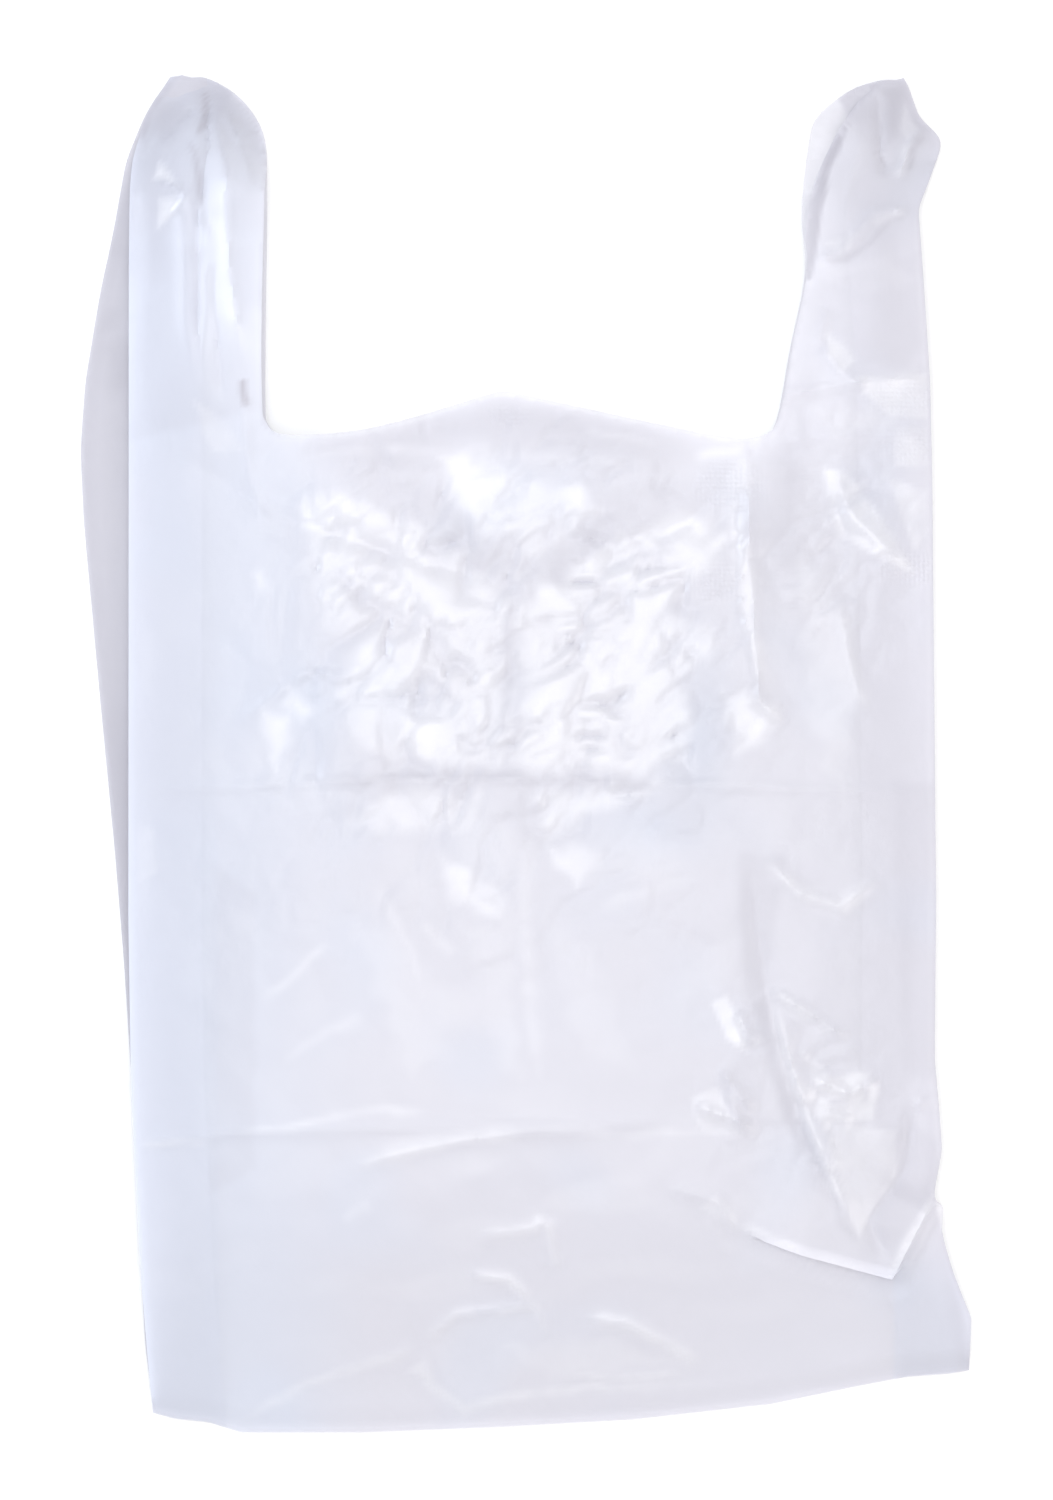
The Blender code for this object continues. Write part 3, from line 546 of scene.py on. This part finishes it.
# painted shade on facets that are turned away from the light, as (strength, outline)
SHADED_FACETS = [
    (0.22, [(0.1340, -0.0100), (0.1500, -0.0100), (0.1510, -0.1200), (0.1380, -0.1150)]),
    (0.22, [(-0.1140, -0.0400), (-0.0980, -0.0500), (-0.0980, -0.1500), (-0.1140, -0.1600)]),
    (0.25, [(-0.1440, 0.1850), (-0.0970, 0.1850), (-0.0960, 0.1250), (-0.1440, 0.1150)]),
    (0.35, [(-0.1385, 0.2300), (-0.1300, 0.2400), (-0.1230, 0.2290), (-0.1210, 0.2165), (-0.1420, 0.2110)]),
    (0.20, [(0.1030, 0.1700), (0.1440, 0.1850), (0.1455, 0.1500), (0.1400, 0.1420), (0.1230, 0.1420),
            (0.1100, 0.1560)]),
    (0.35, [(0.1389, -0.1294), (0.1506, -0.1420), (0.1500, -0.1576), (0.1349, -0.1883), (0.1257, -0.1675)]),
    (0.32, [(0.0774, -0.0346), (0.0942, -0.0364), (0.0917, -0.0602), (0.0880, -0.0851), (0.0818, -0.0895),
            (0.0781, -0.0639)]),
    (0.55, [(0.0818, -0.0900), (0.0880, -0.0877), (0.0975, -0.1210), (0.1035, -0.1407), (0.1199, -0.1766),
            (0.1100, -0.1609), (0.0972, -0.1371), (0.0891, -0.1169)]),
    (0.20, [(-0.1521, 0.1546), (-0.1458, 0.1540), (-0.1473, 0.1294), (-0.1550, 0.1430)]),
    (0.45, [(0.1300, 0.2450), (0.1385, 0.2460), (0.1370, 0.2250), (0.1320, 0.2230)]),
    (0.25, [(0.0900, 0.1180), (0.0990, 0.1700), (0.1120, 0.1700), (0.1060, 0.1250), (0.0980, 0.0900),
            (0.0930, 0.0860)]),
]
# painted shade, darkest of all, on the undersides of the drawn-aside strap and of the gathered hood
DEEPEST_SHADE = [
    (0.95, [(0.1283, 0.2472), (0.1228, 0.2392), (0.1172, 0.2275), (0.1118, 0.2132), (0.1090, 0.2015),
            (0.1068, 0.1883),
            (0.1042, 0.1729), (0.1020, 0.1729), (0.1016, 0.1883), (0.1036, 0.2026), (0.1110, 0.2227),
            (0.1215, 0.2392)]),
]
# narrow slits and gaps in the left handle, painted dark as shade, as (strength, width, line)
SHADED_SLITS = [
    (0.80, 0.0014, [(-0.1169, 0.2480), (-0.1165, 0.2400), (-0.1175, 0.2320), (-0.1195, 0.2246)]),
    (1.00, 0.0014, [(-0.1018, 0.1370), (-0.1014, 0.1320), (-0.1005, 0.1250)]),
    (0.80, 0.0022, [(-0.1270, 0.2500), (-0.1330, 0.2435), (-0.1380, 0.2356), (-0.1430, 0.2200)]),
    (0.50, 0.0010, [(-0.1239, 0.2275), (-0.1199, 0.2187), (-0.1180, 0.2066), (-0.1158, 0.1945)]),
]
# folds and pockets that lie in shade, as (strength, width, line)
SHADES = [
    (0.50, 0.0110, [(-0.1330, 0.2480), (-0.1340, 0.2300), (-0.1340, 0.2150), (-0.1360, 0.1900), (-0.1370, 0.1500)]),
    (0.40, 0.0080, [(-0.1240, 0.2520), (-0.1100, 0.2440), (-0.1020, 0.2300), (-0.0990, 0.2120), (-0.0980, 0.1700)]),
    (0.45, 0.0070, [(-0.1120, 0.2440), (-0.1090, 0.2300), (-0.1090, 0.2160)]),
    (0.20, 0.0130, [(0.1350, 0.2480), (0.1320, 0.2250), (0.1290, 0.2000), (0.1280, 0.1700)]),
    (0.35, 0.0060, [(0.0940, 0.1180), (0.0970, 0.1400), (0.1010, 0.1650)]),
    (0.95, 0.0095, [(-0.0900, 0.1130), (-0.0500, 0.1160), (-0.0080, 0.1240), (0.0300, 0.1180), (0.0800, 0.1110)]),
    (0.30, 0.0060, [(-0.0700, 0.1080), (-0.0400, 0.0960), (-0.0180, 0.0740), (-0.0020, 0.0640)]),
    (0.30, 0.0060, [(0.0700, 0.0960), (0.0400, 0.0960), (0.0180, 0.0740), (-0.0020, 0.0640)]),
    (0.25, 0.0080, [(0.0640, 0.0400), (0.0660, 0.0100), (0.0600, -0.0200), (0.0400, -0.0300)]),
    (0.60, 0.0012, [(-0.1239, 0.2275), (-0.1199, 0.2187), (-0.1180, 0.2066), (-0.1158, 0.1945), (-0.1140, 0.1800)]),
    (0.50, 0.0016, [(-0.1120, 0.2290), (-0.1080, 0.2130), (-0.1070, 0.2080)]),
    (0.60, 0.0010, [(-0.1300, 0.2090), (-0.1246, 0.2045)]),
    (0.40, 0.0014, [(-0.1485, 0.1945), (-0.1455, 0.1755), (-0.1500, 0.1620), (-0.1530, 0.1520)]),
    (0.35, 0.0030, [(-0.1500, 0.1540), (-0.1500, 0.1440), (-0.1500, 0.1300)]),
    (0.55, 0.0032, [(0.1340, 0.2440), (0.1345, 0.2340), (0.1350, 0.2250)]),
    (0.60, 0.0014, [(0.1470, 0.2290), (0.1425, 0.2200), (0.1400, 0.2120)]),
    (0.60, 0.0012, [(0.1060, 0.1795), (0.1170, 0.1805), (0.1260, 0.1870), (0.1330, 0.1960), (0.1440, 0.1985)]),
    (0.45, 0.0014, [(-0.0850, -0.0095), (-0.0300, -0.0075), (0.0300, -0.0095), (0.0600, -0.0110)]),
    (0.45, 0.0016, [(-0.0050, 0.0560), (-0.0070, 0.0200), (-0.0080, -0.0040)]),
    (0.40, 0.0060, [(0.0960, 0.1250), (0.0940, 0.0900), (0.0960, 0.0600)]),
]


def marked(outlines, lines, x, y, wander=0.0016, edge=0.0022):
    """The strongest of some outlined patches and some lines, 0 to 1."""
    x, y = x + wander * rough(x, y, 110.0, 31.0), y + wander * rough(x, y, 110.0, 32.0)
    most = np.zeros(np.shape(x))
    for strength, outline in outlines:
        away = np.abs(beside(outline + outline[:1], x, y)[0]) * np.where(within(outline, x, y), 1.0, -1.0)
        most = np.maximum(most, strength * ease(-edge, edge, away))
    for strength, width, line in lines:
        away, along = beside(line, x, y)
        wide = width * (1.15 + 0.55 * rough(x, y, 60.0, 34.0))
        ends = ease(0.0, 0.22, along) * ease(1.0, 0.78, along)
        most = np.maximum(most, strength * np.exp(-((away / wide) ** 2)) * ends)
    return most


spots = np.empty(len(bag_mesh.vertices) * 3)
bag_mesh.vertices.foreach_get("co", spots)
px, py = spots.reshape(-1, 3)[:, :2].T
on_front = 1.0 - under


def keep(name, values):
    """Writes values on the film's vertices for the material to read."""
    bag_mesh.attributes.new(name, "FLOAT", "POINT").data.foreach_set("value", values.astype(np.float32))


keep("crushed", crumple_zone(px, py))
# painted highlights, which also thicken the gloss coat: marked facets and folds, and faint patches in the middle and
# lower down
soft_highlights = marked(HIGHLIGHT_FACETS, [], px, py, 0.0045, 0.0036)
crisp_highlights = marked(CRISP_HIGHLIGHTS, HIGHLIGHT_STREAKS, px, py, 0.0009, 0.0013) * (0.82 + 0.35 * rough(px, py, 160.0, 36.0))
painted_highlight_and_gloss = np.maximum(0.88 * soft_highlights, 1.12 * crisp_highlights)
middle = np.exp(-(((px + 0.012) / 0.095) ** 2) - ((py + 0.030) / 0.090) ** 2)
painted_highlight_and_gloss = np.maximum(painted_highlight_and_gloss, 0.35 * middle * ease(0.05, 0.55, rough(px, py, 38.0, 35.0)))
lower = np.exp(-((px / 0.100) ** 2) - ((py + 0.185) / 0.060) ** 2)
painted_highlight_and_gloss = np.maximum(painted_highlight_and_gloss, 0.30 * lower * ease(0.0, 0.55, rough(0.6 * px + 0.5 * py, 1.5 * py - 0.5 * px, 42.0, 44.0)))
uncreased = np.clip(1.0 + 0.75 * crumples(px, py) * crumple_zone(px, py), 0.0, 1.0)
painted_highlight_and_gloss = 0.66 * painted_highlight_and_gloss * (0.85 + 0.35 * rough(px, py, 55.0, 33.0)) * uncreased
keep("painted_highlight_and_gloss", painted_highlight_and_gloss * on_front)
# painted shade: the film is darker where it lies in the shade of other layers, and at the top of a handle where it is
# bunched
hood_top_shade = ease(0.218, 0.243, py) * 0.52
wedge_shade = 0.60 + 0.14 * ease(0.18, 0.10, py) + 0.32 * ease(0.06, -0.02, py)
painted_shade = np.maximum(hood_top_shade, under * wedge_shade)
painted_shade = (painted_shade + 0.9 * marked(SHADED_FACETS, SHADES, px, py)) * (1.0 - 0.85 * painted_highlight_and_gloss * on_front)
# cut edges and folds, seen edge on, are painted darker as shade
painted_shade[rim] += 0.45
# painted shade also darkens the film along its right fold and its bottom weld
to_right = np.where(on_front > 0, np.interp(py, *np.array(FRONT_RIGHT).T) - px, 1.0)
to_bottom = py - BOTTOM - bottom_rise(px)
painted_shade += 0.40 * np.exp(-((to_right / 0.0040) ** 2)) + 0.15 * np.exp(-((to_bottom / 0.0050) ** 2))
# the darkest painted shade, under the drawn-aside strap and in the slits of the left hood
painted_shade = np.maximum(0.62 * np.clip(painted_shade, 0.0, 1.0), marked(DEEPEST_SHADE, SHADED_SLITS, px, py, 0.0008, 0.0012) * on_front)
keep("painted_shade", painted_shade)
# painted cool light: the film is tinted cooler towards the left fold, as a cool lamp from the left would make it; the
# noise and the patches below add cool tone at random and in given spots
cool_light_and_tone = ease(-0.045, -0.112, px + 0.012 * rough(px, py, 16.0, 41.0)) * 0.85
cool_light_and_tone += 0.35 * ease(-0.1110, -0.1130, px) * ease(0.0, -0.06, py)
cool_light_and_tone += 0.5 * ease(0.1340, 0.1360, px) * ease(-0.170, -0.195, py)
cool_light_and_tone += 0.45 * ease(0.0, 0.7, rough(px, py, 26.0, 43.0))
# as (x, y, half width, half height)
COOL_PATCHES = [(0.0450, -0.0260, 0.024, 0.012), (-0.0770, 0.0170, 0.011, 0.024), (0.0665, 0.0120, 0.009, 0.024)]
for x, y, half_x, half_y in COOL_PATCHES:
    cool_light_and_tone += 0.65 * np.exp(-(((px - x) / half_x) ** 2) - ((py - y) / half_y) ** 2)
keep("cool_light_and_tone", np.clip(cool_light_and_tone, 0.0, 1.3) * on_front)
# patches where the film has kept the print of a woven surface
WOVEN = [(0.1380, 0.1300, 0.012, 0.007), (0.1400, 0.1130, 0.009, 0.007), (0.0740, 0.0980, 0.012, 0.009),
         (0.1400, 0.0680, 0.010, 0.006), (0.0700, 0.0620, 0.009, 0.007), (-0.0060, 0.1230, 0.008, 0.004)]
woven = sum(np.exp(-(((px - x) / half_x) ** 2 + ((py - y) / half_y) ** 2) ** 2) for x, y, half_x, half_y in WOVEN)
keep("woven", np.clip(woven, 0.0, 1.0) * on_front)


class Wire:
    """A socket that takes part in sums."""

    def __init__(self, tree, socket):
        self.tree, self.socket = tree, socket

    def __add__(self, other):
        return node(self.tree, "ShaderNodeMath", {"operation": "ADD"}, {0: self, 1: other})

    def __mul__(self, other):
        return node(self.tree, "ShaderNodeMath", {"operation": "MULTIPLY"}, {0: self, 1: other})

    __radd__, __rmul__ = __add__, __mul__


def node(tree, kind, settings=None, values=None, out=0):
    """A node of a kind, with its settings first and then its sockets' values or links."""
    made = tree.nodes.new(kind)
    for name, value in (settings or {}).items():
        setattr(made, name, value)
    for name, value in (values or {}).items():
        if isinstance(value, Wire):
            tree.links.new(value.socket, made.inputs[name])
        else:
            made.inputs[name].default_value = value
    return Wire(tree, made.outputs[out])


film = bpy.data.materials.new("milky_film")
film.use_nodes = True
tree = film.node_tree
tree.nodes.clear()
place = node(tree, "ShaderNodeTexCoord", out=3)
crushed_film = node(tree, "ShaderNodeAttribute", {"attribute_name": "crushed"}, out=2)
painted_shade_film = node(tree, "ShaderNodeAttribute", {"attribute_name": "painted_shade"}, out=2)
painted_highlight_film = node(tree, "ShaderNodeAttribute", {"attribute_name": "painted_highlight_and_gloss"}, out=2)
cool_light_film = node(tree, "ShaderNodeAttribute", {"attribute_name": "cool_light_and_tone"}, out=2)
woven_film = node(tree, "ShaderNodeAttribute", {"attribute_name": "woven"}, out=2)
grain = node(tree, "ShaderNodeTexNoise", values={"Vector": place, "Scale": 380.0, "Detail": 1.0})
ripple = node(tree, "ShaderNodeTexNoise", values={"Vector": place, "Scale": 120.0, "Detail": 2.0})
slant = node(tree, "ShaderNodeMapping", {"vector_type": "TEXTURE"},
             {"Vector": place, "Rotation": (0.0, 0.0, -0.9), "Scale": (3.2, 1.0, 1.0)})
pulls = node(tree, "ShaderNodeTexNoise", values={"Vector": slant, "Scale": 100.0, "Detail": 2.0})
weave_across = node(tree, "ShaderNodeTexWave", {"bands_direction": "X"},
                    {"Vector": place, "Scale": 185.0, "Distortion": 1.2, "Detail Scale": 0.8}, out=1)
weave_along = node(tree, "ShaderNodeTexWave", {"bands_direction": "Y"},
                   {"Vector": place, "Scale": 185.0, "Distortion": 1.2, "Detail Scale": 0.8}, out=1)
# fine ripples, strongest where the film was crushed, slanting pulls and the woven print
relief = ripple * (crushed_film * 0.45 + 0.06) + grain * (crushed_film * 0.06 + 0.03) + pulls * 0.22
relief = relief + (weave_across + weave_along) * woven_film * 0.14
skin = node(tree, "ShaderNodeBump", values={"Strength": 0.6, "Distance": 0.0012, "Height": relief})
# lilac film with painted light: tinted cooler at the left as a cool lamp from that side would make it, whiter under
# painted highlights, darker under painted shade
plain = node(tree, "ShaderNodeMix", {"data_type": "RGBA"},
             {0: cool_light_film, 6: (0.874, 0.862, 0.930, 1.0), 7: (0.830, 0.870, 0.985, 1.0)}, out=2)
highlighted = node(tree, "ShaderNodeMix", {"data_type": "RGBA"},
           {0: painted_highlight_film * 0.85, 6: plain, 7: (0.985, 0.980, 1.0, 1.0)}, out=2)
shaded = node(tree, "ShaderNodeMix", {"data_type": "RGBA"},
            {0: painted_shade_film, 6: highlighted, 7: (0.49, 0.47, 0.53, 1.0)}, out=2)
sheen = node(tree, "ShaderNodeBsdfPrincipled",
             values={"Base Color": shaded, "Roughness": 0.27, "IOR": 1.50, "Coat Weight": painted_highlight_film,
                     "Coat Roughness": 0.28, "Coat IOR": 2.2, "Normal": skin})
glow = node(tree, "ShaderNodeBsdfTranslucent", values={"Color": (0.93, 0.93, 0.98, 1.0), "Normal": skin})
body = node(tree, "ShaderNodeMixShader", values={0: 0.30, 1: sheen, 2: glow})
clear = node(tree, "ShaderNodeBsdfTransparent")
# thin film lets some of what lies below it show, less where a highlight is painted, so it looks brighter there
see_through = node(tree, "ShaderNodeMixShader", values={0: painted_highlight_film * 0.24 + 0.72, 1: clear, 2: body})
output = tree.nodes.new("ShaderNodeOutputMaterial")
tree.links.new(see_through.socket, output.inputs["Surface"])
bag_mesh.materials.append(film)

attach(film_bag, "root")
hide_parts("carrier_bag")

# ---------------------------------------------------------------------------------------------
# The studio: a plain pale floor, three large soft lights and an even surround, seen from straight
# above, as a bag laid out flat is shown.

floor_bm = bmesh.new()
bmesh.ops.create_grid(floor_bm, x_segments=1, y_segments=1, size=4.0)
bmesh.ops.translate(floor_bm, verts=floor_bm.verts[:], vec=(0.0, 0.0, -0.0006))
floor_mesh = bpy.data.meshes.new("floor")
floor_bm.to_mesh(floor_mesh)
floor_bm.free()
floor = bpy.data.objects.new("floor", floor_mesh)
bpy.context.scene.collection.objects.link(floor)
paper = bpy.data.materials.new("white_paper")
paper.use_nodes = True
paper.node_tree.nodes["Principled BSDF"].inputs["Base Color"].default_value = (0.95, 0.95, 0.95, 1.0)
paper.node_tree.nodes["Principled BSDF"].inputs["Roughness"].default_value = 0.9
paper.node_tree.nodes["Principled BSDF"].inputs["Specular IOR Level"].default_value = 0.0
floor_mesh.materials.append(paper)

world = bpy.data.worlds.new("surround")
bpy.context.scene.world = world
world.use_nodes = True
world.node_tree.nodes["Background"].inputs["Color"].default_value = (1.0, 1.0, 1.0, 1.0)
world.node_tree.nodes["Background"].inputs["Strength"].default_value = 0.70


def soft_light(name, spot, aim, size, power, colour):
    """A square light at a spot, turned to face its aim."""
    lamp = bpy.data.lights.new(name, "AREA")
    lamp.shape, lamp.size, lamp.energy, lamp.color = "SQUARE", size, power, colour
    held = bpy.data.objects.new(name, lamp)
    held.location = spot
    held.rotation_euler = (Vector(aim) - Vector(spot)).to_track_quat("-Z", "Y").to_euler()
    bpy.context.scene.collection.objects.link(held)


soft_light("overhead_softbox", (0.0, 0.08, 1.9), (0.0, 0.0, 0.0), 1.40, 16.0, (1.0, 1.0, 1.0))
soft_light("left_softbox", (-1.3, 0.5, 0.9), (0.0, 0.0, 0.0), 0.8, 10.0, (0.80, 0.89, 1.0))
soft_light("right_softbox", (1.3, -0.6, 1.0), (0.0, 0.0, 0.0), 0.9, 7.0, (1.0, 0.97, 0.95))

lens = bpy.data.cameras.new("camera")
lens.lens, lens.sensor_width, lens.clip_start, lens.clip_end = 100.0, 36.0, 0.05, 20.0
camera = bpy.data.objects.new("camera", lens)
camera.location = (0.0007, 0.0020, 1.5285)
bpy.context.scene.collection.objects.link(camera)
bpy.context.scene.camera = camera
bpy.context.scene.view_settings.view_transform = "Standard"
# light passes through up to six layers of film, so it needs many see-through bounces but few others
bpy.context.scene.cycles.diffuse_bounces = 2
bpy.context.scene.cycles.glossy_bounces = 2
bpy.context.scene.cycles.transmission_bounces = 4
bpy.context.scene.cycles.transparent_max_bounces = 16
